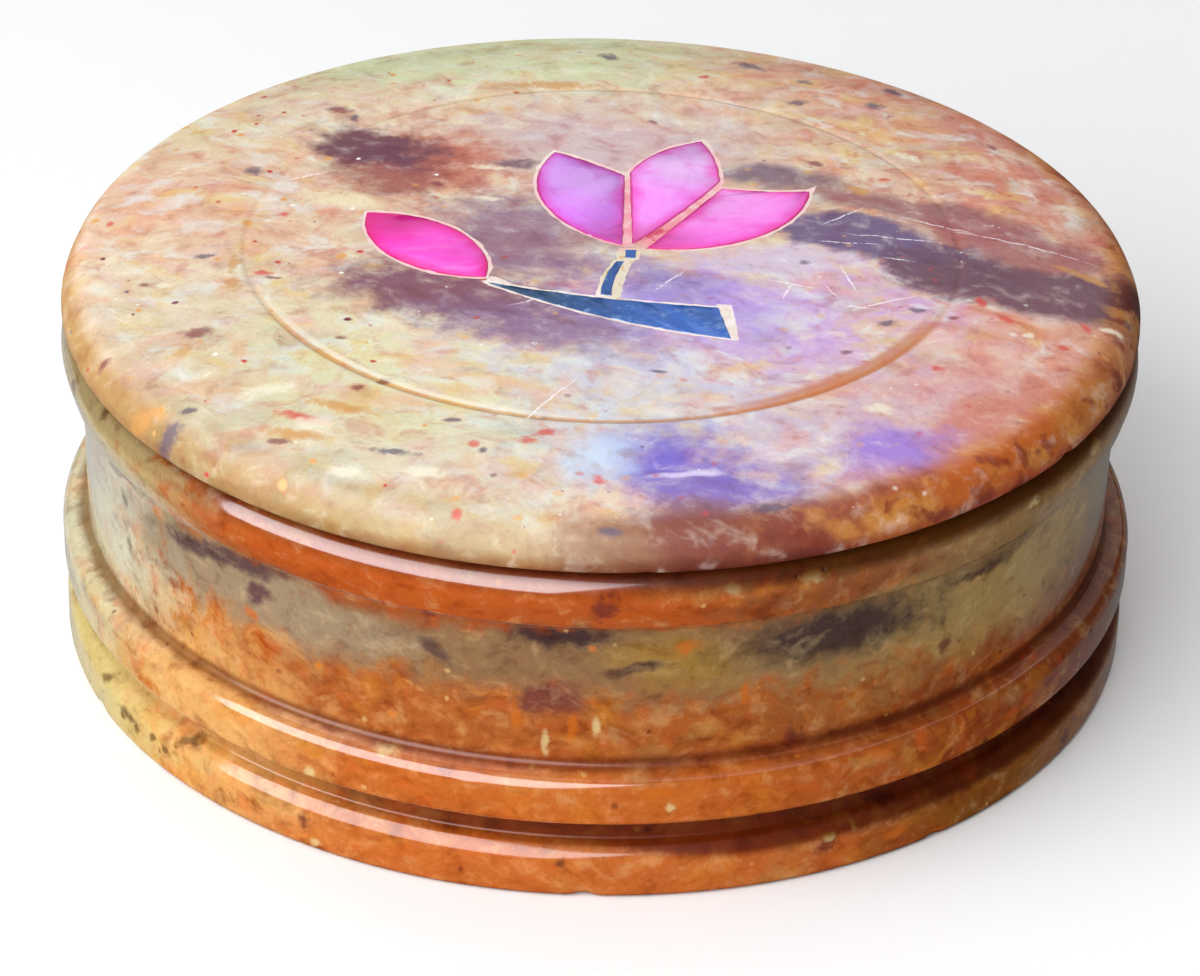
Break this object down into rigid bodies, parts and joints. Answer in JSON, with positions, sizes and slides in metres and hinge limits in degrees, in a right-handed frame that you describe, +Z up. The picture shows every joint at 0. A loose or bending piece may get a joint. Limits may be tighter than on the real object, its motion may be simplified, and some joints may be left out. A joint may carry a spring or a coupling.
{
  "type": "soapstone keepsake box",
  "caption": "Round turned soapstone keepsake box with a lift-off lid inlaid with a small flower of coloured stone chips.",
  "frame": {"origin": "centre of the box's foot, on the surface that it stands on", "axes": "+Z up along the turning axis; -Y towards the viewer, with the flower's bud on the -X side and its open petals towards +Y"},
  "size_m": [0.1012, 0.1012, 0.0382],
  "materials": {
    "stone_cup": "polished, mottled terracotta and olive",
    "stone_lid": "polished, mottled olive, cream, salmon and violet",
    "chip_magenta": "polished, dyed",
    "chip_pink": "polished, dyed",
    "chip_lilac": "polished, dyed",
    "chip_violet": "polished, dyed",
    "chip_blue": "polished, dark blue",
    "cement_cream": "matt cement"
  },
  "bodies": {
    "base": {"base": "stone_cup"},
    "lid": {"lid": "stone_lid", "petal_left": "chip_violet", "petal_middle": "chip_lilac", "petal_right": "chip_pink", "bud": "chip_magenta", "stem": "chip_blue", "stalk_lower": "chip_blue", "stalk_upper": "chip_blue", "inlay_cement": "cement_cream"}
  },
  "joints": [
    {"name": "lid_lift", "type": "slide", "parent": "base", "child": "lid", "axis": [0, 0, 1], "range_m": [0, 0.06]}
  ]
}
